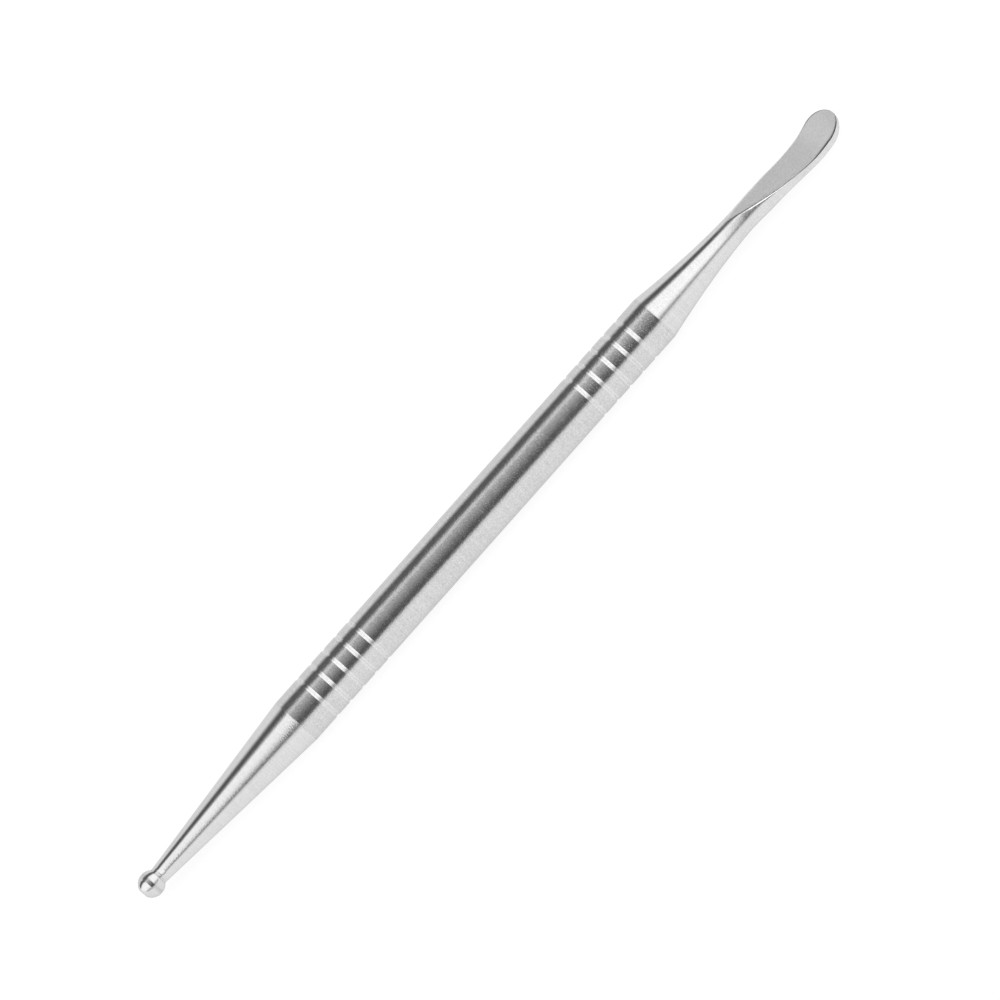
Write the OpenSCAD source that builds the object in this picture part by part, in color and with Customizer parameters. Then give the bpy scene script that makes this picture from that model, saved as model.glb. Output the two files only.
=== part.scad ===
// Cuticle pusher: a round turned handle with a cone and a small ball on one end,
// and a flared cone with a scooped blade on the other.
// Frame: +X runs along the tool towards the blade, +Z is the way the blade's face looks.
// The origin is on the tool's axis, half way along the full-diameter handle.

/* [Handle] */
// Diameter of the round bar that the handle is turned from, mm
handle_d = 6.35; // [5.5:0.05:7.5]
// Length of the full-diameter handle, mm
handle_len = 62.2; // [54:0.1:80]
// Grooves in each grip band
grooves = 5; // [3:1:6]
// Spacing of the grooves, mm
groove_pitch = 2.2; // [2:0.1:2.6]
// Width of a groove at the surface, mm
groove_w = 0.56; // [0.4:0.02:0.9]
// Slope of a groove's sides, degrees
groove_slope = 25; // [15:1:35]
// Plain land between the cone and the first groove on the ball side, mm
land_ball = 3.75; // [2:0.05:6]
// Plain land between the cone and the first groove on the blade side, mm
land_blade = 3.3; // [2:0.1:6]

/* [Ball end] */
// Length of the straight cone, mm
cone_len = 23.8; // [18:0.1:30]
// Diameter of the cone where it meets the ball, mm
ball_neck_d = 2.2; // [2:0.05:2.4]
// Diameter of the ball, mm
ball_d = 3.2; // [3:0.05:4]
// Flat left on the far side of the ball where it was parted off, diameter, mm
ball_flat_d = 1.2; // [0.8:0.1:1.6]

/* [Blade end] */
// Length of the flared cone from the handle to the narrowest part of the neck, mm
flare_len = 15.3; // [12:0.1:20]
// Diameter of the neck, mm
neck_d = 3.24; // [3:0.02:3.8]
// Length of the blade from the neck to the tip, mm
blade_len = 16.1; // [15.5:0.1:18]
// Widest part of the blade, which is also the diameter of its round tip, mm
blade_w = 5.24; // [4.8:0.02:5.4]
// How far the lowest point of the scooped face is above the tool's axis, mm
scoop_z = -0.05; // [-0.15:0.05:0.1]
// Height of the tip above the tool's axis, mm
tip_z = 0.74; // [0.64:0.02:0.9]
// Thickness of the blade under the lowest point of the scoop, mm
blade_t = 0.95; // [0.85:0.05:1.1]
// Thickness of the blade at its tip, mm
tip_t = 0.45; // [0.4:0.05:0.6]

/* [Joints] */
// Diameter of the sockets in the handle, mm
socket_d = 3.6; // [3:0.1:4]
// Depth of the sockets in the handle, mm
socket_depth = 9; // [7:0.5:12]
// How much bigger a spigot is than its socket, mm on the diameter
press = 0.02; // [0:0.01:0.03]
// Diameter of the ball's stem, mm
stem_d = 1.2; // [1:0.05:1.4]
// Length of the ball's stem, mm
stem_len = 3; // [2:0.1:4]

/* [Hidden] */
$fn = 96;

handle_r = handle_d / 2;
half_len = handle_len / 2;
neck_r = neck_d / 2;
tip_r = blade_w / 2;

// A groove has two straight sides, a small round root and two small rounded shoulders.
root_r = 0.04;
shoulder_r = 0.06;
flank_fall = (groove_w / 2 - (root_r + shoulder_r) * sin(groove_slope)) * tan(groove_slope);
groove_depth = flank_fall + (root_r + shoulder_r) * (1 - cos(groove_slope));

// A socket ends in the cone that a drill leaves, and its spigot stops short of it.
drill_slope = tan(31);
end_gap = 0.4;
lead_in = 0.3;

// How far a spigot is sunk into its own piece, and how far a cutting shape runs past the tool.
sink = 0.5;
beyond = 1;

// Places along the tool, measured from the middle of the handle.
cone_end = half_len + cone_len;
ball_seat = sqrt(pow(ball_d / 2, 2) - pow(ball_neck_d / 2, 2));
flare_end = half_len + flare_len;
tip_x = flare_end + blade_len;
tip_centre = tip_x - tip_r;

// The side of the blade meets its round tip at a slight angle.
flank_angle = 5;
flank_end = tip_centre - tip_r * sin(flank_angle);
flank_r = tip_r * cos(flank_angle);

// The scooped face starts just above the cone at face_x, and is lowest at scoop_x.
scoop_to_tip = 5.7;
scoop_x = tip_x - scoop_to_tip;
face_lead = 3;
face_x = flare_end - face_lead;
face_clearance = 0.1;
face_top = neck_r + face_clearance;

// The underside leaves the neck, runs almost level from belly_x to the scoop, and rises to the tip.
belly_len = 6.4;
belly_x = flare_end + belly_len;
belly_z = scoop_z - blade_t;
belly_rise = 0.02;
tip_rise_power = 1.7;

// The turned blank behind the blade is this much bigger than the blade at the tip.
blank_extra = 0.5;

// How late the flare levels out at the neck, and how late the blade widens after it.
flare_power = 1.65;
widen_power = 1.3;

STEEL = [0.78, 0.78, 0.79];
BRIGHT = [0.82, 0.82, 0.83];

function mix(a, b, t) = a + (b - a) * t;
function ease(t) = t * t * (3 - 2 * t);

// Points of one groove, as [radius, x], from its low-x side to its high-x side.
function groove_points(x0) = concat(
    [for (i = [0:3]) let (a = mix(0, groove_slope, i / 3))
        [handle_r - shoulder_r * (1 - cos(a)), x0 - groove_w / 2 + shoulder_r * sin(a)]],
    [for (i = [0:4]) let (a = mix(-groove_slope, groove_slope, i / 4))
        [handle_r - groove_depth + root_r * (1 - cos(a)), x0 + root_r * sin(a)]],
    [for (i = [0:3]) let (a = mix(groove_slope, 0, i / 3))
        [handle_r - shoulder_r * (1 - cos(a)), x0 + groove_w / 2 - shoulder_r * sin(a)]]
);

function ball_side_groove(i) = -half_len + land_ball + i * groove_pitch;
function blade_side_groove(i) = half_len - land_blade - (grooves - 1 - i) * groove_pitch;

// Radius of the flared cone at a share t of its length: steep at the handle, level at the neck.
function flare_r(t) = mix(handle_r, neck_r, 1 - pow(1 - t, flare_power));

// Half width of the blade at x.
function blade_r(x) = x < flank_end
    ? mix(neck_r, flank_r, pow((x - flare_end) / (flank_end - flare_end), widen_power))
    : sqrt(max(0, tip_r * tip_r - pow(x - tip_centre, 2)));

// Radius of the turned blank that the blade is cut from, at x.
function blank_r(x) = blade_r(min(x, flank_end))
    + blank_extra * pow((x - flare_end) / (tip_x - flare_end), 2);

// Height of the scooped face at x: it leaves the top of the neck, dips, and rises to the tip.
function face_z(x) = x < scoop_x
    ? mix(scoop_z, face_top, ease((scoop_x - x) / (scoop_x - face_x)))
    : mix(scoop_z, tip_z, ease((x - scoop_x) / (tip_x - scoop_x)));

// Height of the underside at x.
function under_z(x) = x < belly_x
    ? mix(-neck_r, belly_z, ease((x - flare_end) / (belly_x - flare_end)))
    : x < scoop_x
    ? mix(belly_z, belly_z + belly_rise, (x - belly_x) / (scoop_x - belly_x))
    : mix(belly_z + belly_rise, tip_z - tip_t, pow((x - scoop_x) / scoop_to_tip, tip_rise_power));

// Turns a profile of [radius, x] points about the tool's axis.
module turned(points) {
    rotate([0, 90, 0])
        rotate_extrude()
            polygon(points);
}

// A drilled socket that opens towards +X at x = 0.
module socket(d, depth) {
    turned([
        [0, -depth - d / 2 * drill_slope],
        [d / 2, -depth],
        [d / 2, 0],
        [d / 2 + lead_in / 2, lead_in / 2],
        [0, lead_in / 2]
    ]);
}

// A spigot with a chamfered end that reaches from x = 0 to x = -length.
module spigot(d, length) {
    turned([
        [0, -length],
        [d / 2 - lead_in, -length],
        [d / 2, -length + lead_in],
        [d / 2, sink],
        [0, sink]
    ]);
}

// The solid bar with a band of grooves near each end.
module grooved_bar() {
    turned(concat(
        [[0, -half_len], [handle_r, -half_len]],
        [for (i = [0:grooves - 1]) each groove_points(ball_side_groove(i))],
        [for (i = [0:grooves - 1]) each groove_points(blade_side_groove(i))],
        [[handle_r, half_len], [0, half_len]]
    ));
}

// Grooved handle with a socket in each end.
module handle() {
    color(STEEL)
        difference() {
            grooved_bar();
            translate([half_len, 0, 0])
                socket(socket_d, socket_depth);
            translate([-half_len, 0, 0])
                mirror([1, 0, 0])
                    socket(socket_d, socket_depth);
        }
}

// Straight cone with a spigot for the handle and a small socket for the ball's stem.
module ball_end() {
    color(STEEL)
        difference() {
            union() {
                turned([
                    [0, -cone_end],
                    [ball_neck_d / 2, -cone_end],
                    [handle_r, -half_len],
                    [0, -half_len]
                ]);
                translate([-half_len, 0, 0])
                    mirror([1, 0, 0])
                        spigot(socket_d + press, socket_depth - end_gap);
            }
            translate([-cone_end, 0, 0])
                mirror([1, 0, 0])
                    socket(stem_d, stem_len + end_gap);
        }
}

// Ball with a flat on its far side and a stem that is pressed into the cone.
module ball_tip() {
    ball_r = ball_d / 2;
    far_angle = asin(ball_flat_d / ball_d);
    near_angle = 180 - asin(ball_neck_d / ball_d);
    color(BRIGHT)
        translate([-cone_end, 0, 0])
            union() {
                turned(concat(
                    [[0, -ball_seat - ball_r * cos(far_angle)]],
                    [for (i = [0:32]) let (a = mix(far_angle, near_angle, i / 32))
                        [ball_r * sin(a), -ball_seat - ball_r * cos(a)]],
                    [[0, 0]]
                ));
                mirror([1, 0, 0])
                    spigot(stem_d + press, stem_len);
            }
}

// The flared cone, the neck and the thickening blank beyond it, turned about the axis.
module flare_and_blank() {
    turned(concat(
        [[0, half_len]],
        [for (i = [0:20]) [flare_r(i / 20), mix(half_len, flare_end, i / 20)]],
        [for (i = [1:20]) let (x = mix(flare_end, tip_x + beyond, i / 20)) [blank_r(x), x]],
        [[0, tip_x + beyond]]
    ));
}

// One side of the blade's outline seen from above, as [x, y], from the neck to the tip.
function flank_points(side) = concat(
    [for (i = [2:20]) let (x = mix(flare_end, flank_end, i / 20)) [x, side * blade_r(x)]],
    [for (i = [1:20]) let (a = mix(90 + flank_angle, 0, i / 20))
        [tip_centre + tip_r * cos(a), side * tip_r * sin(a)]]
);

// The blade's outline from above, left wide over the cone and the neck.
module top_view() {
    start = flank_points(1)[0];
    tall = handle_d;
    near = flank_points(1);
    far = flank_points(-1);
    translate([0, 0, -tall])
        linear_extrude(2 * tall)
            polygon(concat(
                [[half_len - beyond, -tall], [start[0], -tall]],
                [for (i = [0:len(far) - 2]) far[i]],
                [for (i = [len(near) - 1:-1:0]) near[i]],
                [[start[0], tall], [half_len - beyond, tall]]
            ));
}

// Side view of the cone and the blade, from the scooped face down to the underside.
module side_view() {
    steps = 40;
    tall = handle_d;
    rotate([90, 0, 0])
        translate([0, 0, -tall])
            linear_extrude(2 * tall)
                polygon(concat(
                    [[half_len - beyond, -tall], [half_len - beyond, tall], [face_x, tall]],
                    [for (i = [0:steps]) let (x = mix(face_x, tip_x, i / steps)) [x, face_z(x)]],
                    [[tip_x + beyond, tip_z], [tip_x + beyond, tip_z - tip_t]],
                    [for (i = [steps:-1:0]) let (x = mix(flare_end, tip_x, i / steps)) [x, under_z(x)]],
                    [[flare_end, -tall]]
                ));
}

// Flared cone and scooped blade in one piece, with a spigot for the handle.
module pusher_end() {
    color(BRIGHT)
        union() {
            intersection() {
                flare_and_blank();
                top_view();
                side_view();
            }
            translate([half_len, 0, 0])
                spigot(socket_d + press, socket_depth - end_gap);
        }
}

handle();
ball_end();
ball_tip();
pusher_end();
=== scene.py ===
import math

import bpy
import numpy as np
from mathutils import Matrix, Vector


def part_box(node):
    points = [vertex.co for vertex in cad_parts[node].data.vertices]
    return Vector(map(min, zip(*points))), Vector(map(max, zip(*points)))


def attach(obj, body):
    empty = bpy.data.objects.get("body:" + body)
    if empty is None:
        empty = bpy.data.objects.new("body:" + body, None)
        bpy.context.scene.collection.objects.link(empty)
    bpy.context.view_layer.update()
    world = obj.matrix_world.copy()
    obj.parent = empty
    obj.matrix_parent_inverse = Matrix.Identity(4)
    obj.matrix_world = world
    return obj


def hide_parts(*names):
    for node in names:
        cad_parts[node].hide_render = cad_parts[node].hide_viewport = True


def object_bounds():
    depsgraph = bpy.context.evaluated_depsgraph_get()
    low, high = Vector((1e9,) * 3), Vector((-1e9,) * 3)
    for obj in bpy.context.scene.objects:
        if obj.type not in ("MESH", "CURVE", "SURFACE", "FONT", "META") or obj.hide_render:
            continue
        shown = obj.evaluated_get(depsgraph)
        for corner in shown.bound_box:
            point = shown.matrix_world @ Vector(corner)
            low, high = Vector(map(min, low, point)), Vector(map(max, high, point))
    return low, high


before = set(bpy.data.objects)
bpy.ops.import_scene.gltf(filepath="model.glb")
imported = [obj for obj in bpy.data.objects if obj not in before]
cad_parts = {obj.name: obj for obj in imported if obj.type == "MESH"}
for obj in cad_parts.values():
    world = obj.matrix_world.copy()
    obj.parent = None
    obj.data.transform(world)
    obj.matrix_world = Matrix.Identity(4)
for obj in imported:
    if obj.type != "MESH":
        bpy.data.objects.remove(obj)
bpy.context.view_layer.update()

MM = 0.001


# ---------------------------------------------------------------- sizes, in mm, from the CAD nodes
def node_box(name):
    lo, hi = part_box(name)
    return [c / MM for c in lo], [c / MM for c in hi]


HANDLE_LO, HANDLE_HI = node_box("handle")
X0, X1 = HANDLE_LO[0], HANDLE_HI[0]      # the handle's ends
R = HANDLE_HI[2]                         # the handle's radius
TIP_X = node_box("pusher_end")[1][0]     # the blade's end

# the handle: grooves, lands, sockets
GROOVES = 5
PITCH = 2.2
LAND_BALL = 3.75
LAND_BLADE = 3.3
GROOVE_W = 0.56
GROOVE_SLOPE = math.radians(25)
ROOT_R = 0.04
SHOULDER_R = 0.06
SOCKET_R = 1.8
SOCKET_DEEP = 9.0
SOCKET_BEVEL = 0.15
DRILL_POINT = math.radians(31)
SPIGOT_R = 1.81
SPIGOT_LEN = 8.6
SPIGOT_BEVEL = 0.3
EDGE = 0.035                             # rounding of the outer edges at the seams
ROUND_STEPS = 5                          # points round a groove's root and shoulders

# the straight cone and the ball
CONE_LEN = 23.8
NECK_BALL_R = 1.1
STEM_SOCKET_R = 0.6
STEM_SOCKET_BEVEL = 0.1
STEM_R = 0.61
STEM_LEN = 3.0
SEAT_EDGE = 0.03                         # rounding where the ball meets the cone
BALL_R = 1.6
BALL_FLAT_R = 0.6
WAIST_CUT = 0.020                        # how far the ball's waist land lies under the full sphere

# the flared cone and the blade
NECK_R = 1.62
FLARE_LEN = 15.3
FLARE_POWER = 1.65
TIP_R = 2.62
FLANK_ANGLE = math.radians(5)
FLANK_POWER = 1.3
SCOOP_TO_TIP = 5.7
SCOOP_Z = -0.05
TIP_Z = 0.74
TIP_T = 0.45
BLADE_T = 0.95
FACE_LEAD = 3.0                          # how far before the flare's end the face's surface starts
FACE_TOP = NECK_R + 0.1
BELLY_LEN = 6.4
BELLY_RISE = 0.02
TIP_RISE_POWER = 1.7
BLANK_EXTRA = 0.5

FLARE_END = X1 + FLARE_LEN
TIP_CENTRE = TIP_X - TIP_R
FLANK_END = TIP_CENTRE - TIP_R * math.sin(FLANK_ANGLE)
FLANK_R = TIP_R * math.cos(FLANK_ANGLE)
SCOOP_X = TIP_X - SCOOP_TO_TIP
FACE_X = FLARE_END - FACE_LEAD
BELLY_X = FLARE_END + BELLY_LEN
BELLY_Z = SCOOP_Z - BLADE_T


def mix(a, b, t):
    return a + (b - a) * t


def ease(t):
    t = min(1.0, max(0.0, t))
    return t * t * (3 - 2 * t)


# ---------------------------------------------------------------- meshes
def mesh_object(name, verts, faces, material_index=None, wear_and_painted_light=None):
    mesh = bpy.data.meshes.new(name)
    mesh.from_pydata([tuple(c * MM for c in v) for v in verts], [], faces)
    mesh.polygons.foreach_set("use_smooth", [True] * len(mesh.polygons))
    if material_index is not None:
        mesh.polygons.foreach_set("material_index", material_index)
    if wear_and_painted_light is not None:
        layer = mesh.attributes.new("wear_and_painted_light", "FLOAT", "POINT")
        layer.data.foreach_set("value", wear_and_painted_light)
    mesh.validate()
    mesh.update()
    obj = bpy.data.objects.new(name, mesh)
    bpy.context.scene.collection.objects.link(obj)
    return obj


def ring_faces(rings, n):
    faces = []
    for i in range(rings - 1):
        a, b = i * n, (i + 1) * n
        for j in range(n):
            k = (j + 1) % n
            faces.append((a + j, a + k, b + k, b + j))
    return faces


def turned_mesh(name, profile, n=224):
    """profile: closed run of (x, r, mark) from the axis, along the surface and back to the axis; the mark
    holds edge rubbing and painted light.
    """
    verts, wear_and_painted_light = [], []
    for x, r, w in profile[1:-1]:
        for j in range(n):
            a = 2 * math.pi * j / n
            verts.append((x, -r * math.cos(a), r * math.sin(a)))
            wear_and_painted_light.append(w)
    faces = ring_faces(len(profile) - 2, n)
    first, last = len(verts), len(verts) + 1
    verts += [(profile[0][0], 0, 0), (profile[-1][0], 0, 0)]
    wear_and_painted_light += [0.0, 0.0]
    end = (len(profile) - 3) * n
    for j in range(n):
        k = (j + 1) % n
        faces.append((first, k, j))
        faces.append((last, end + j, end + k))
    return mesh_object(name, verts, faces, wear_and_painted_light=wear_and_painted_light)


def groove(x0):
    """One groove's surface as (x, r, wear), with close support points outside its shoulders."""
    half = GROOVE_W / 2
    fall = (half - (ROOT_R + SHOULDER_R) * math.sin(GROOVE_SLOPE)) * math.tan(GROOVE_SLOPE)
    depth = fall + (ROOT_R + SHOULDER_R) * (1 - math.cos(GROOVE_SLOPE))
    near, away = 0.02, 0.10              # how far off the support points lie
    low = ROOT_R * math.sin(GROOVE_SLOPE)
    flank_r = R - depth + ROOT_R * (1 - math.cos(GROOVE_SLOPE)) + near * math.tan(GROOVE_SLOPE)
    out = [(x0 - half - away, R, 0.0), (x0 - half - near, R, 0.1)]
    for i in range(ROUND_STEPS + 1):
        a = mix(0, GROOVE_SLOPE, i / ROUND_STEPS)
        out.append((x0 - half + SHOULDER_R * math.sin(a), R - SHOULDER_R * (1 - math.cos(a)), 0.7))
    out.append((x0 - low - near, flank_r, 0.5))
    for i in range(ROUND_STEPS + 1):
        a = mix(-GROOVE_SLOPE, GROOVE_SLOPE, i / ROUND_STEPS)
        out.append((x0 + ROOT_R * math.sin(a), R - depth + ROOT_R * (1 - math.cos(a)), 0.1))
    out.append((x0 + low + near, flank_r, 0.5))
    for i in range(ROUND_STEPS + 1):
        a = mix(GROOVE_SLOPE, 0, i / ROUND_STEPS)
        out.append((x0 + half - SHOULDER_R * math.sin(a), R - SHOULDER_R * (1 - math.cos(a)), 0.7))
    out += [(x0 + half + near, R, 0.1), (x0 + half + away, R, 0.0)]
    return out


def rounded_corner(p, q, s, size, steps=4, wear_and_painted_light=0.8):
    """Points that round the corner q of the run p-q-s, with a support point each side."""
    def toward(a, b, d):
        length = math.hypot(b[0] - a[0], b[1] - a[1])
        return (a[0] + (b[0] - a[0]) * d / length, a[1] + (b[1] - a[1]) * d / length)
    a, b = toward(q, p, size), toward(q, s, size)
    support = size * 1.6
    out = [(*toward(q, p, support), 0.0)]
    for i in range(steps + 1):
        t = i / steps
        x = (1 - t) ** 2 * a[0] + 2 * t * (1 - t) * q[0] + t * t * b[0]
        r = (1 - t) ** 2 * a[1] + 2 * t * (1 - t) * q[1] + t * t * b[1]
        out.append((x, r, wear_and_painted_light * math.sin(math.pi * t)))
    out.append((*toward(q, s, support), 0.0))
    return out


def make_handle():
    drill = SOCKET_R * math.tan(DRILL_POINT)
    mouth = SOCKET_R + SOCKET_BEVEL
    profile = [
        (X0 + SOCKET_DEEP + drill, 0, 0),
        (X0 + SOCKET_DEEP, SOCKET_R, 0),
        (X0 + SOCKET_BEVEL, SOCKET_R, 0),
        (X0, mouth, 0),
    ]
    profile += rounded_corner((X0, mouth), (X0, R), (X0 + LAND_BALL, R), EDGE)
    for i in range(GROOVES):
        profile += groove(X0 + LAND_BALL + i * PITCH)
    last = X0 + LAND_BALL + (GROOVES - 1) * PITCH
    first = X1 - LAND_BLADE - (GROOVES - 1) * PITCH
    spans = 12
    for i in range(1, spans):
        profile.append((mix(last + 1, first - 1, i / spans), R, 0))
    for i in range(GROOVES):
        profile += groove(first + i * PITCH)
    profile += rounded_corner((X1 - LAND_BLADE, R), (X1, R), (X1, mouth), EDGE)
    profile += [
        (X1, mouth, 0),
        (X1 - SOCKET_BEVEL, SOCKET_R, 0),
        (X1 - SOCKET_DEEP, SOCKET_R, 0),
        (X1 - SOCKET_DEEP - drill, 0, 0),
    ]
    return turned_mesh("turned_handle", profile)


# The fine rings cut in the cone beside the ball, as (offset, depth).
DEEP_RING = (
    (-0.06, 0), (-0.04, 0.008), (-0.02, 0.03), (0, 0.04), (0.02, 0.03), (0.04, 0.008), (0.06, 0),
)
LIGHT_RING = ((-0.05, 0), (-0.02, 0.008), (0, 0.012), (0.02, 0.008), (0.05, 0))


def fine_ring(x, radius_at, marks):
    """One fine ring at x, as (x, r, painted light): painted shade in the ring, the darker the deeper it is.
    """
    return [(x + dx, radius_at(x + dx) - deep, -deep * 12) for dx, deep in marks]


def make_cone():
    """From the stem's socket, over the end by the ball and up the cone, to the spigot's end."""
    end = X0 - CONE_LEN
    slope = (R - NECK_BALL_R) / CONE_LEN

    def on_cone(x):
        return NECK_BALL_R + slope * (x - end)

    bottom = end + STEM_LEN + 0.4
    mouth = STEM_SOCKET_R + STEM_SOCKET_BEVEL
    profile = [
        (bottom + 0.3, 0, 0),
        (bottom, STEM_SOCKET_R, 0),
        (end + 0.15, STEM_SOCKET_R, 0),
        (end, mouth, 0),
    ]
    profile += rounded_corner((end, mouth), (end, NECK_BALL_R), (end + 1, on_cone(end + 1)), SEAT_EDGE)
    profile += fine_ring(end + 0.17, on_cone, DEEP_RING)
    profile += fine_ring(end + 0.42, on_cone, LIGHT_RING)
    spans = 40
    for i in range(1, spans):
        x = mix(end + 0.5, X0 - 0.2, i / spans)
        profile.append((x, on_cone(x), 0))
    profile += rounded_corner((X0 - 2, on_cone(X0 - 2)), (X0, R), (X0, SPIGOT_R), EDGE)
    profile += [
        (X0, SPIGOT_R, 0),
        (X0 + SPIGOT_LEN - SPIGOT_BEVEL, SPIGOT_R, 0),
        (X0 + SPIGOT_LEN, SPIGOT_R - SPIGOT_BEVEL, 0),
        (X0 + SPIGOT_LEN, 0, 0),
    ]
    return turned_mesh("ball_cone", profile)


def make_ball():
    end = X0 - CONE_LEN
    seat = math.sqrt(BALL_R ** 2 - NECK_BALL_R ** 2)
    centre = end - seat
    far = math.asin(BALL_FLAT_R / BALL_R)
    near = math.pi - math.asin(NECK_BALL_R / BALL_R)
    far_x = centre - BALL_R * math.cos(far)
    # a small centre mark in the flat
    profile = [(far_x, 0, 0), (far_x + 0.012, 0.10, 0), (far_x, 0.16, 0), (far_x, BALL_FLAT_R - 0.04, 0)]
    steps = 110
    for i in range(1, steps):
        a = mix(far, near, i / steps)
        x, r = centre - BALL_R * math.cos(a), BALL_R * math.sin(a)
        # a narrow cylindrical land round the waist, with a fine witness line in it, its colour darkened
        # with painted shade
        off = (x - centre - 0.10) / 0.30
        r = min(r, BALL_R - WAIST_CUT - 0.004 * math.exp(-(off / 0.08) ** 2))
        profile.append((x, r, -0.3 * math.exp(-(off / 0.9) ** 2)))
    before_seat = (end - 0.1, NECK_BALL_R + 0.09)
    profile += rounded_corner(before_seat, (end, NECK_BALL_R), (end, STEM_R), SEAT_EDGE)
    profile += [
        (end, STEM_R, 0),
        (end + STEM_LEN - SPIGOT_BEVEL, STEM_R, 0),
        (end + STEM_LEN, STEM_R - SPIGOT_BEVEL, 0),
        (end + STEM_LEN, 0, 0),
    ]
    return turned_mesh("turned_ball", profile, n=128)


# The blade: cross sections along x, each the smooth meeting of a round blank, the blade's outline,
# its scooped face and its underside.
NO_LIMIT = 99.0


def flare_r(x):
    t = (x - X1) / FLARE_LEN
    return mix(R, NECK_R, 1 - max(0.0, 1 - t) ** FLARE_POWER)


def flank_r(x):
    return mix(NECK_R, FLANK_R, ((x - FLARE_END) / (FLANK_END - FLARE_END)) ** FLANK_POWER)


def plan_r(x):
    if x < FLARE_END:
        return NO_LIMIT
    if x < FLANK_END:
        return flank_r(x)
    return math.sqrt(max(0.0, TIP_R ** 2 - (x - TIP_CENTRE) ** 2))


def blank_r(x):
    if x < FLARE_END:
        return flare_r(x)
    grown = flank_r(min(x, FLANK_END))
    return grown + BLANK_EXTRA * ((x - FLARE_END) / (TIP_X - FLARE_END)) ** 2


def face_z(x):
    if x < FACE_X:
        return FACE_TOP + (FACE_X - x)
    if x < SCOOP_X:
        return mix(SCOOP_Z, FACE_TOP, ease((SCOOP_X - x) / (SCOOP_X - FACE_X)))
    return mix(SCOOP_Z, TIP_Z, ease((x - SCOOP_X) / (TIP_X - SCOOP_X)))


def under_z(x):
    if x < FLARE_END:
        return -NO_LIMIT
    if x < BELLY_X:
        return mix(-NECK_R, BELLY_Z, ease((x - FLARE_END) / (BELLY_X - FLARE_END)))
    scoop_z = BELLY_Z + BELLY_RISE
    if x < SCOOP_X:
        return mix(BELLY_Z, scoop_z, (x - BELLY_X) / (SCOOP_X - BELLY_X))
    return mix(scoop_z, TIP_Z - TIP_T, ((x - SCOOP_X) / (TIP_X - SCOOP_X)) ** TIP_RISE_POWER)


def past_flare(x, table):
    """The value of a table of (mm past the flare's end, values) at x."""
    return float(np.interp(x - FLARE_END, *table))


# A section has 2 * FACE_HALF + 1 points on its face and REST - 1 round the rest of it.
FACE_HALF = 32
REST = 224
# How sharply two surfaces of a section meet: the power of a rounded minimum, high where it is sharp.
# The ground outline and the flat underside leave the round neck sharply, and round off further along.
OUTLINE_POWER = 120.0
BELLY_POWER = ((0.0, 1.0, 4.0), (150.0, 70.0, 20.0))
FACE_POWER = ((-3.0, -1.0, 1.5, 3.5, 8.0, 10.6), (200.0, 70.0, 20.0, 14.0, 24.0, 44.0))
# How far inside the rounded edge the face's matt material ends, mm.
FACE_INSET = ((3.0, 8.0, 10.6), (0.16, 0.12, 0.06))
OUTLINE_GROWS = 3.0      # mm past the flare's end over which the ground outline takes hold


def section(x):
    """The points round one section as y and z, the face's first, and half the face's width (0 for none)."""
    blank, plan, top, low = blank_r(x), plan_r(x), face_z(x), under_z(x)
    hi, lo = min(top, blank), max(low, -blank)
    zc = (hi + lo) / 2
    a = np.linspace(-math.pi / 2, 1.5 * math.pi, 6001)[:-1]
    c, s = np.cos(a), np.sin(a)
    inside = np.maximum(blank ** 2 - (zc * c) ** 2, 1e-9)
    round_d = -zc * s + np.sqrt(inside)
    side_d = plan / np.maximum(np.abs(c), 1e-6)
    low_d = np.where(s < -1e-6, (zc - low) / np.maximum(-s, 1e-6), 1e6)
    top_d = np.where(s > 1e-6, (top - zc) / np.maximum(s, 1e-6), 1e6)
    grow = ease((x - FLARE_END) / OUTLINE_GROWS)
    round_d = (round_d ** -OUTLINE_POWER + grow * side_d ** -OUTLINE_POWER) ** (-1 / OUTLINE_POWER)
    p = past_flare(x, BELLY_POWER)
    body = (round_d ** -p + low_d ** -p) ** (-1 / p)
    q = past_flare(x, FACE_POWER)
    rho = (body ** -q + top_d ** -q) ** (-1 / q)
    y, z = rho * c, zc + rho * s
    # where the face ends on the right-hand side, just inside its rounded edge
    cut = (top_d < body) & (s > 0)
    if cut.any():
        half = float(np.max(np.abs((top_d * c)[cut])))
        face = max(half - past_flare(x, FACE_INSET), 0.4 * half)
    else:
        half, face = 0.0, 0.0
    face = max(face, 0.004)
    angle_right = math.atan2(max(hi - zc, 1e-4), face)
    order = np.argsort((a - angle_right) % (2 * math.pi))
    ys, zs, aa = y[order], z[order], (a[order] - angle_right) % (2 * math.pi)
    span = math.pi - 2 * angle_right
    on_face = aa <= span
    def resample(yy, zz, count, by_turning):
        """Spread count points evenly by length, and also by how much the outline turns."""
        dy, dz = np.diff(yy), np.diff(zz)
        length = np.hypot(dy, dz)
        heading = np.unwrap(np.arctan2(dz, dy))
        turning = np.abs(np.gradient(heading)) if len(heading) > 2 else 0 * length
        weight = length / max(length.sum(), 1e-9)
        if by_turning:
            weight = weight + 0.9 * turning / max(turning.sum(), 1e-9)
        run = np.concatenate([[0], np.cumsum(weight)])
        want = np.linspace(0, run[-1], count)
        return np.interp(want, run, yy), np.interp(want, run, zz)
    fy, fz = resample(ys[on_face], zs[on_face], 2 * FACE_HALF + 1, False)
    ry, rz = resample(
        np.concatenate([[fy[-1]], ys[~on_face], [fy[0]]]),
        np.concatenate([[fz[-1]], zs[~on_face], [fz[0]]]),
        REST + 1,
        True,
    )
    py = np.concatenate([fy, ry[1:-1]])
    pz = np.concatenate([fz, rz[1:-1]])
    return py, pz, half
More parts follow.
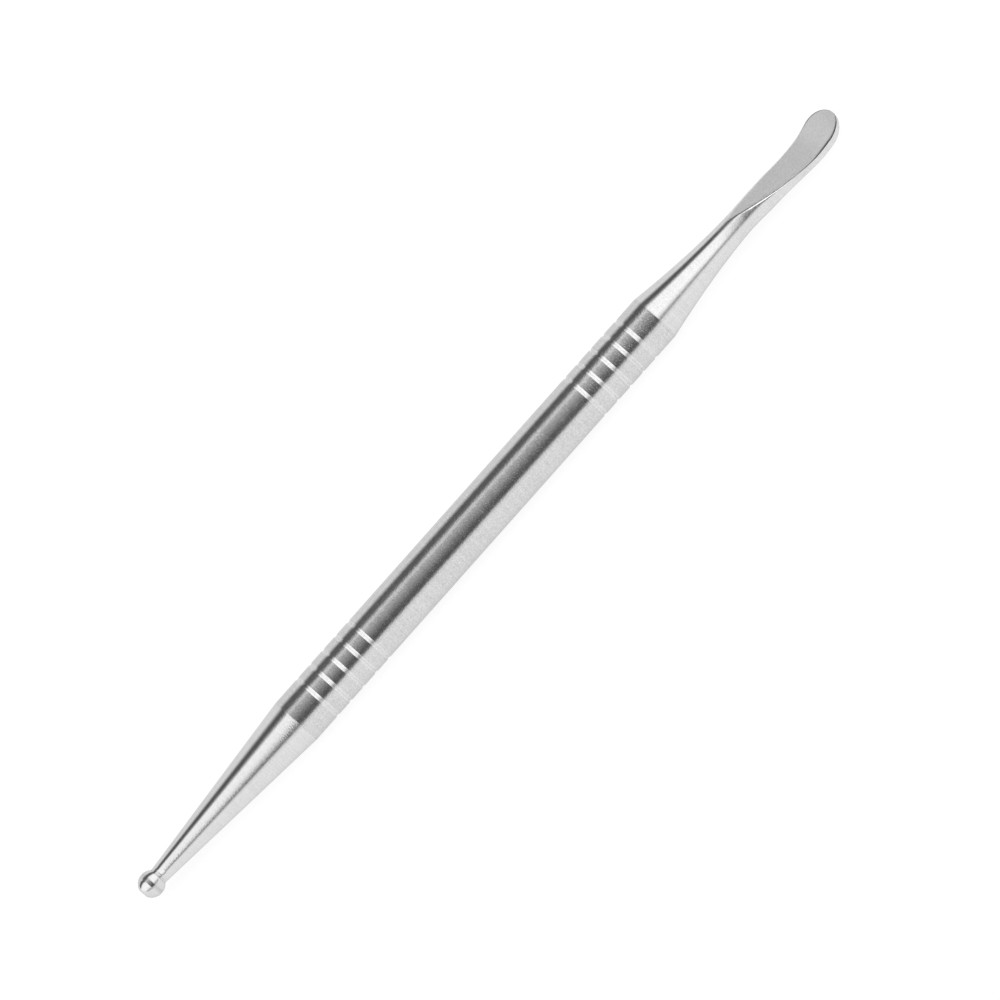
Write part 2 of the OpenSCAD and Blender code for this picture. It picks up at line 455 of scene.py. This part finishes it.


# Painted light along the edges of the face: positive is a painted highlight with a little edge wear,
# negative is a fine dark line of painted shade.
PAINTED_EDGE_HIGHLIGHT = ((0.3, 1.6, 5.8, 7.8), (0.6, 2.6, 2.6, 0.6))
NEAR_PAINTED_SHADE = ((8.3, 11.2), (0.0, 1.0))       # the -y edge
FAR_PAINTED_SHADE = ((11.4, 13.4), (0.0, 1.0))       # the +y edge
THICK_PAINTED_SHADE = ((10.0, 12.0), (0.0, 1.0))
EDGE_WEAR_AND_HIGHLIGHT, PAINTED_SHADE_LEVEL = 0.5, -1.7
EDGE_POINTS, PAINTED_SHADE_POINTS = 30, 20           # how many points outside the edge they cover


def make_pusher():
    n = 2 * FACE_HALF + REST
    xs = []
    for i in range(5):
        xs.append(X1 + EDGE * (0.0 + i / 4))
    xs += list(np.linspace(X1 + 0.08, FACE_X + 0.6, 46))
    xs += list(np.linspace(FACE_X + 0.6, FLANK_END, 150))[1:]
    flank_end, tip_end = math.radians(90) + FLANK_ANGLE, math.radians(1.2)
    tip_steps = 96
    for i in range(1, tip_steps + 1):
        xs.append(TIP_CENTRE + TIP_R * math.cos(mix(flank_end, tip_end, i / tip_steps)))
    verts, wear_and_painted_light, mats = [], [], []
    halves = []

    def circle(x, r):
        # a plain round section, its points placed as a section with no face has them
        py, pz, _ = section(X1 + 0.2)
        k = np.hypot(py, pz)
        for a, b, c in zip(py, pz, k):
            verts.append((x, a / c * r, b / c * r))
            wear_and_painted_light.append(0.0)
        halves.append(0.0)

    circle(X1 - SPIGOT_LEN, 1e-3)
    circle(X1 - SPIGOT_LEN, SPIGOT_R - SPIGOT_BEVEL)
    circle(X1 - SPIGOT_LEN + SPIGOT_BEVEL, SPIGOT_R)
    circle(X1, SPIGOT_R)
    circle(X1, R - EDGE * 1.5)
    circle(X1, R - EDGE)
    for x in xs:
        py, pz, half = section(x)
        shrink = 0.0
        if x < X1 + EDGE:
            t = (x - X1) / EDGE
            shrink = EDGE * (1 - math.sqrt(max(0.0, 1 - (1 - t) ** 2)))
        k = 1 - shrink / np.hypot(py, pz)
        edge_light_and_wear = np.zeros(n)
        # each edge of the face gets a painted highlight, and towards the tip a fine dark line of painted
        # shade
        if half > 0.3:
            bright = past_flare(x, PAINTED_EDGE_HIGHLIGHT)
            thick = past_flare(x, THICK_PAINTED_SHADE)
            near_inner = (mix(-0.9, -1.9, thick), -1.5 * thick, -0.6 * thick)
            far_inner = (-0.9, 0.0, 0.0)
            for corner, out, shade_line, inner in (
                (2 * FACE_HALF, 1, past_flare(x, NEAR_PAINTED_SHADE), near_inner),
                (n, -1, past_flare(x, FAR_PAINTED_SHADE), far_inner),
            ):
                edge_light_and_wear[corner % n] = mix(EDGE_WEAR_AND_HIGHLIGHT, PAINTED_SHADE_LEVEL, shade_line)
                for j, level in enumerate(inner):
                    edge_light_and_wear[(corner - out * (j + 1)) % n] = level * shade_line
                for j in range(1, EDGE_POINTS):
                    painted_light_and_wear = bright * math.exp(-((j - 9) / 9.0) ** 2)
                    edge_light_and_wear[(corner + out * j) % n] = mix(painted_light_and_wear, PAINTED_SHADE_LEVEL if j < PAINTED_SHADE_POINTS else 0.0, shade_line)
        for a, b, m, w in zip(py, pz, k, edge_light_and_wear):
            verts.append((x, a * m, b * m))
            wear_and_painted_light.append(float(w))
        halves.append(half)
    rings = len(halves)
    faces = ring_faces(rings, n)
    # material 1 is the matt face between the blade's edges
    for i in range(rings - 1):
        for j in range(n):
            matt = j < 2 * FACE_HALF and halves[i] > 0.02 and halves[i + 1] > 0.02
            mats.append(1 if matt else 0)
    start = len(verts)
    verts.append((X1 - SPIGOT_LEN, 0, 0))
    last = verts[(rings - 1) * n:rings * n]
    verts.append((TIP_X, 0.0, sum(v[2] for v in last) / n))
    wear_and_painted_light += [0.0, 0.0]
    for j in range(n):
        k = (j + 1) % n
        faces.append((start, k, j))
        faces.append((start + 1, (rings - 1) * n + j, (rings - 1) * n + k))
        mats += [0, 0]
    return mesh_object("pusher_blade", verts, faces, mats, wear_and_painted_light)


# ---------------------------------------------------------------- materials
class Nodes:
    def __init__(self, material):
        self.tree = material.node_tree
        self.n = self.tree.nodes
        self.l = self.tree.links

    def add(self, kind, **values):
        node = self.n.new(kind)
        for key, value in values.items():
            setattr(node, key, value)
        return node

    def math(self, op, a, b=None, c=None, clamp=False):
        node = self.add("ShaderNodeMath", operation=op, use_clamp=clamp)
        for i, v in enumerate((a, b, c)):
            if v is None:
                continue
            if isinstance(v, (int, float)):
                node.inputs[i].default_value = v
            else:
                self.l.new(v, node.inputs[i])
        return node.outputs[0]

    def noise(self, vector, scale, detail=3.0, rough=0.5):
        node = self.add("ShaderNodeTexNoise")
        node.inputs["Scale"].default_value = scale
        node.inputs["Detail"].default_value = detail
        node.inputs["Roughness"].default_value = rough
        self.l.new(vector, node.inputs["Vector"])
        return node.outputs["Fac"]

    def stretched(self, vector, x, y, z):
        node = self.add("ShaderNodeMapping")
        node.inputs["Scale"].default_value = (x, y, z)
        self.l.new(vector, node.inputs["Vector"])
        return node.outputs[0]

    def span(self, value, a, b, c, d, smooth=False):
        node = self.add("ShaderNodeMapRange", interpolation_type="SMOOTHSTEP" if smooth else "LINEAR")
        for i, v in enumerate((a, b, c, d)):
            node.inputs[1 + i].default_value = v
        self.l.new(value, node.inputs[0])
        return node.outputs[0]

    def ramp(self, value, stops):
        node = self.add("ShaderNodeValToRGB")
        ramp = node.color_ramp
        while len(ramp.elements) < len(stops):
            ramp.elements.new(0.5)
        for e, (pos, level) in zip(ramp.elements, stops):
            e.position = pos
            e.color = (level, level, level, 1.0)
        self.l.new(value, node.inputs[0])
        return node.outputs[0]


def steel(name, level, rough, lines, grain, speck=1.0, rings_bump=1.0, satin=None):
    """Turned stainless steel: fine rings, a soft uneven polish, rubbed edges and a few bright specks, plus
    painted highlight and painted shade read from the mesh.
    """
    material = bpy.data.materials.new(name)
    material.use_nodes = True
    k = Nodes(material)
    bsdf = k.n["Principled BSDF"]
    bsdf.inputs["Metallic"].default_value = 1.0
    bsdf.inputs["Specular Tint"].default_value = (0.78, 0.78, 0.78, 1)
    where = k.add("ShaderNodeTexCoord").outputs["Object"]
    # rings: noise that changes quickly along x and hardly at all round the axis
    fine = k.noise(k.stretched(where, 9000, 120, 120), 1.0, 2.0, 0.6)
    broad = k.noise(k.stretched(where, 1500, 60, 60), 1.0, 2.0, 0.5)
    cloud = k.noise(where, 420, 3.0, 0.55)
    mottled = k.noise(where, 5200, 2.0, 0.6)
    spots = k.add("ShaderNodeTexVoronoi", feature="F1")
    spots.inputs["Scale"].default_value = 700
    k.l.new(where, spots.inputs["Vector"])
    dot = k.span(spots.outputs["Distance"], 0.03, 0.07, 1.0, 0.0)
    pick = k.span(k.noise(where, 900, 0.0), 0.66, 0.70, 0.0, 1.0)
    dots = k.math("MULTIPLY", dot, pick)
    # the mesh's attribute: above 0 edge wear and painted highlight, below 0 painted shade
    painted_light_and_wear = k.add("ShaderNodeAttribute", attribute_name="wear_and_painted_light").outputs["Fac"]
    wear_and_painted_light = k.math("MAXIMUM", painted_light_and_wear, 0.0)
    painted_shade = k.math("MAXIMUM", k.math("MULTIPLY", painted_light_and_wear, -1.0), 0.0)
    # colour
    tone = k.math("MULTIPLY_ADD", k.math("SUBTRACT", fine, 0.5), 0.14 * lines, level)
    tone = k.math("MULTIPLY_ADD", k.math("SUBTRACT", broad, 0.5), 0.06 * lines, tone)
    tone = k.math("MULTIPLY_ADD", k.math("SUBTRACT", cloud, 0.5), 0.07, tone)
    tone = k.math("MULTIPLY_ADD", k.math("SUBTRACT", mottled, 0.5), 0.30 * grain, tone)
    tone = k.math("MULTIPLY_ADD", wear_and_painted_light, 0.10, tone)
    # painted shade darkens the fine rings, the ball's waist and the dark line along the blade face's edge
    tone = k.math("MULTIPLY_ADD", painted_shade, -0.36, tone)
    tone = k.math("MULTIPLY_ADD", dots, 0.25 * speck, tone)
    tint = k.add("ShaderNodeCombineColor")
    k.l.new(tone, tint.inputs[0])
    k.l.new(tone, tint.inputs[1])
    k.l.new(k.math("MULTIPLY", tone, 1.003), tint.inputs[2])
    k.l.new(tint.outputs[0], bsdf.inputs["Base Color"])
    # roughness
    gloss = k.math("MULTIPLY_ADD", k.math("SUBTRACT", broad, 0.5), 0.10 * lines, rough)
    gloss = k.math("MULTIPLY_ADD", k.math("SUBTRACT", cloud, 0.5), 0.10, gloss)
    gloss = k.math("MULTIPLY_ADD", k.math("SUBTRACT", mottled, 0.5), 0.14 * grain, gloss)
    gloss = k.math("MULTIPLY_ADD", wear_and_painted_light, -0.05, gloss)
    gloss = k.math("MULTIPLY_ADD", dots, 0.25, gloss)
    if satin:
        x = k.add("ShaderNodeSeparateXYZ")
        k.l.new(where, x.inputs[0])
        rise = k.span(x.outputs[0], satin[0] * MM, satin[1] * MM, 0.0, satin[2], True)
        gloss = k.math("ADD", gloss, rise)
    k.l.new(k.math("MINIMUM", k.math("MAXIMUM", gloss, 0.05), 0.9), bsdf.inputs["Roughness"])
    # relief
    height = k.math("MULTIPLY_ADD", fine, 0.03 * rings_bump, k.math("MULTIPLY", broad, 0.04 * rings_bump))
    height = k.math("MULTIPLY_ADD", mottled, 0.40 * grain, height)
    bump = k.add("ShaderNodeBump")
    bump.inputs["Strength"].default_value = 1.0
    bump.inputs["Distance"].default_value = 2.0e-5
    k.l.new(height, bump.inputs["Height"])
    k.l.new(bump.outputs[0], bsdf.inputs["Normal"])
    return material


TURNED = steel("turned_steel", 0.64, 0.10, lines=1.0, grain=1.2)
CONE = steel("polished_cone_steel", 0.695, 0.10, lines=0.9, grain=0.62, speck=0.4)
BALL = steel("polished_ball_steel", 0.68, 0.13, lines=0.6, grain=0.6, speck=0.2)
# satin is where the roughness starts to rise, where it stops, and by how much
satin = (FLARE_END - 5.0, FLARE_END - 0.5, 0.13)
BLADE = steel("satin_flare_steel", 0.695, 0.10, lines=0.8, grain=0.9, speck=0.4, satin=satin)
FACE = steel("matt_face_steel", 0.87, 0.42, lines=0.0, grain=1.4, speck=0.2, rings_bump=0.0)

handle = make_handle()
cone = make_cone()
ball = make_ball()
blade = make_pusher()
handle.data.materials.append(TURNED)
cone.data.materials.append(CONE)
ball.data.materials.append(BALL)
blade.data.materials.append(BLADE)
blade.data.materials.append(FACE)

for piece, node, slot in (
    (handle, "handle", "turned_steel"),
    (cone, "ball_end", "turned_steel"),
    (ball, "ball_tip", "turned_steel"),
    (blade, "pusher_end", "satin_steel"),
):
    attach(piece, "root")
    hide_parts(node)

# ---------------------------------------------------------------- camera
ROLL = math.radians(48.36)   # how far the tool's axis climbs above the picture's horizontal
TURN = math.radians(48.0)    # how far the blade's face is turned away from the camera
TILT = math.radians(2.15)    # the ball end is a little nearer the camera
DISTANCE = 0.85
WIDTH = 0.11517              # metres across the picture at the tool
AXIS = Vector((1, 0, 0))
SIDE = Vector((0, -math.cos(TURN), -math.sin(TURN)))
FRONT = Vector((0, -math.sin(TURN), math.cos(TURN)))
back = (FRONT * math.cos(TILT) - AXIS * math.sin(TILT)).normalized()
along = (AXIS * math.cos(TILT) + FRONT * math.sin(TILT)).normalized()
right = along * math.cos(ROLL) + SIDE * math.sin(ROLL)
up = along * math.sin(ROLL) - SIDE * math.cos(ROLL)
target = Vector((2.61 * MM, 0, 0)) - SIDE * (0.04 * MM) + right * (1.096 * MM) + up * (0.253 * MM)
SENSOR = 36
data = bpy.data.cameras.new("camera")
data.sensor_width = SENSOR
data.lens = SENSOR * DISTANCE / WIDTH
data.clip_start, data.clip_end = 0.05, 20
camera = bpy.data.objects.new("camera", data)
facing = Matrix((right, up, back)).transposed().to_4x4()
camera.matrix_world = Matrix.Translation(target + back * DISTANCE) @ facing
bpy.context.scene.collection.objects.link(camera)
bpy.context.scene.camera = camera
bpy.context.scene.view_settings.view_transform = "Standard"

# ---------------------------------------------------------------- floor
FLOOR_HALF = 3.0
FLOOR_GAP = 0.00002
floor_mesh = bpy.data.meshes.new("floor")
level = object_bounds()[0][2] - FLOOR_GAP
corners = [(x * FLOOR_HALF, y * FLOOR_HALF, level) for x, y in ((-1, -1), (1, -1), (1, 1), (-1, 1))]
floor_mesh.from_pydata(corners, [], [(0, 1, 2, 3)])
floor = bpy.data.objects.new("floor", floor_mesh)
bpy.context.scene.collection.objects.link(floor)
paper = bpy.data.materials.new("paper_floor")
paper.use_nodes = True
k = Nodes(paper)
bsdf = k.n["Principled BSDF"]
bsdf.inputs["Base Color"].default_value = (0.22, 0.22, 0.22, 1)
bsdf.inputs["Roughness"].default_value = 0.9
bsdf.inputs["Emission Color"].default_value = (1, 1, 1, 1)
bsdf.inputs["Emission Strength"].default_value = 0.83
through = k.add("ShaderNodeBsdfTransparent")
# from below the floor is clear, so that the underside can be looked at
blend = k.add("ShaderNodeMixShader")
k.l.new(k.add("ShaderNodeNewGeometry").outputs["Backfacing"], blend.inputs[0])
k.l.new(bsdf.outputs[0], blend.inputs[1])
k.l.new(through.outputs[0], blend.inputs[2])
k.l.new(blend.outputs[0], k.n["Material Output"].inputs["Surface"])
floor.data.materials.append(paper)

# ---------------------------------------------------------------- studio light
# A white tent with dark gaps, laid out round the tool's axis. For a direction, around is twice the turn of
# the polished round surface that mirrors it to the front, and lean is how far it points along the axis.
world = bpy.data.worlds.new("studio")
bpy.context.scene.world = world
world.use_nodes = True
k = Nodes(world)
sky = k.n["Background"]
way = k.add("ShaderNodeTexCoord").outputs["Generated"]


def along_dir(vector):
    node = k.add("ShaderNodeVectorMath", operation="DOT_PRODUCT")
    k.l.new(way, node.inputs[0])
    node.inputs[1].default_value = vector
    return node.outputs["Value"]


front_part = along_dir(FRONT)
side_part = along_dir(SIDE)
lean = along_dir(AXIS)
around = k.math("MULTIPLY", k.math("ARCTAN2", side_part, k.math("ADD", front_part, 1.0)), 2.0)
turn = k.math("MULTIPLY_ADD", around, 1 / (2 * math.pi), 0.5)


def at(deg):
    return (deg + 180) / 360


# The tent's brightness by turn: OPENING square to the axis, SIDES for directions well along it.
OPENING = [
    (at(-180), 0.70), (at(-160), 0.86), (at(-140), 0.96), (at(-112), 0.93), (at(-99), 0.64),
    (at(-90), 0.22), (at(-86), 0.155), (at(-66), 0.155), (at(-60), 0.30), (at(-55), 0.60),
    (at(-49), 0.84), (at(-44), 0.78), (at(-38), 0.58), (at(-21), 0.41), (at(-8), 0.27),
    (at(4), 0.15), (at(12), 0.125), (at(18), 0.13), (at(23), 0.25), (at(27), 0.62),
    (at(32), 0.95), (at(38), 1.0), (at(180), 1.0),
]
SIDES = [
    (at(-180), 0.70), (at(-160), 0.86), (at(-140), 0.96), (at(-104), 0.95), (at(-94), 0.50),
    (at(-87), 0.13), (at(-72), 0.13), (at(-64), 0.42), (at(-54), 1.30), (at(-6), 1.35),
    (at(6), 1.15), (at(14), 0.72), (at(19), 0.45), (at(23), 0.52), (at(28), 0.85),
    (at(34), 1.0), (at(180), 1.0),
]
opening = k.ramp(turn, OPENING)
# the gap sits a little further round for directions that lean to the ball's end, but not the steepest
far = k.math("MULTIPLY", k.span(lean, -0.17, -0.08, 1.0, 0.0), k.span(lean, -0.50, -0.34, 0.0, 1.0))
shifted = k.math("MULTIPLY_ADD", far, -0.028, turn)
# the panel that the straight cone mirrors is a little less bright
facing_cone = k.math(
    "MULTIPLY",
    k.span(lean, -0.34, -0.26, 0.0, 1.0),
    k.span(lean, -0.17, -0.10, 1.0, 0.0),
)
sides = k.math("MULTIPLY", k.ramp(shifted, SIDES), k.span(facing_cone, 0.0, 1.0, 1.0, 0.93))
# where the opening ends, towards the blade's end and towards the ball's end
slant = k.math("MULTIPLY_ADD", k.math("MINIMUM", k.math("ADD", around, 0.35), 0.0), -0.07, lean)
beyond = k.math(
    "ADD",
    k.span(slant, 0.126, 0.152, 0.0, 1.0, True),
    k.span(k.math("MULTIPLY_ADD", around, 0.10, lean), -0.201, -0.141, 1.0, 0.0, True),
    clamp=True,
)
mixed = k.add("ShaderNodeMix", data_type="RGBA")
k.l.new(beyond, mixed.inputs["Factor"])
k.l.new(opening, mixed.inputs["A"])
k.l.new(sides, mixed.inputs["B"])
seen = k.add("ShaderNodeMix", data_type="RGBA")
k.l.new(k.add("ShaderNodeLightPath").outputs["Is Camera Ray"], seen.inputs["Factor"])
k.l.new(mixed.outputs["Result"], seen.inputs["A"])
seen.inputs["B"].default_value = (1, 1, 1, 1)
k.l.new(seen.outputs["Result"], sky.inputs["Color"])
sky.inputs["Strength"].default_value = 1.0
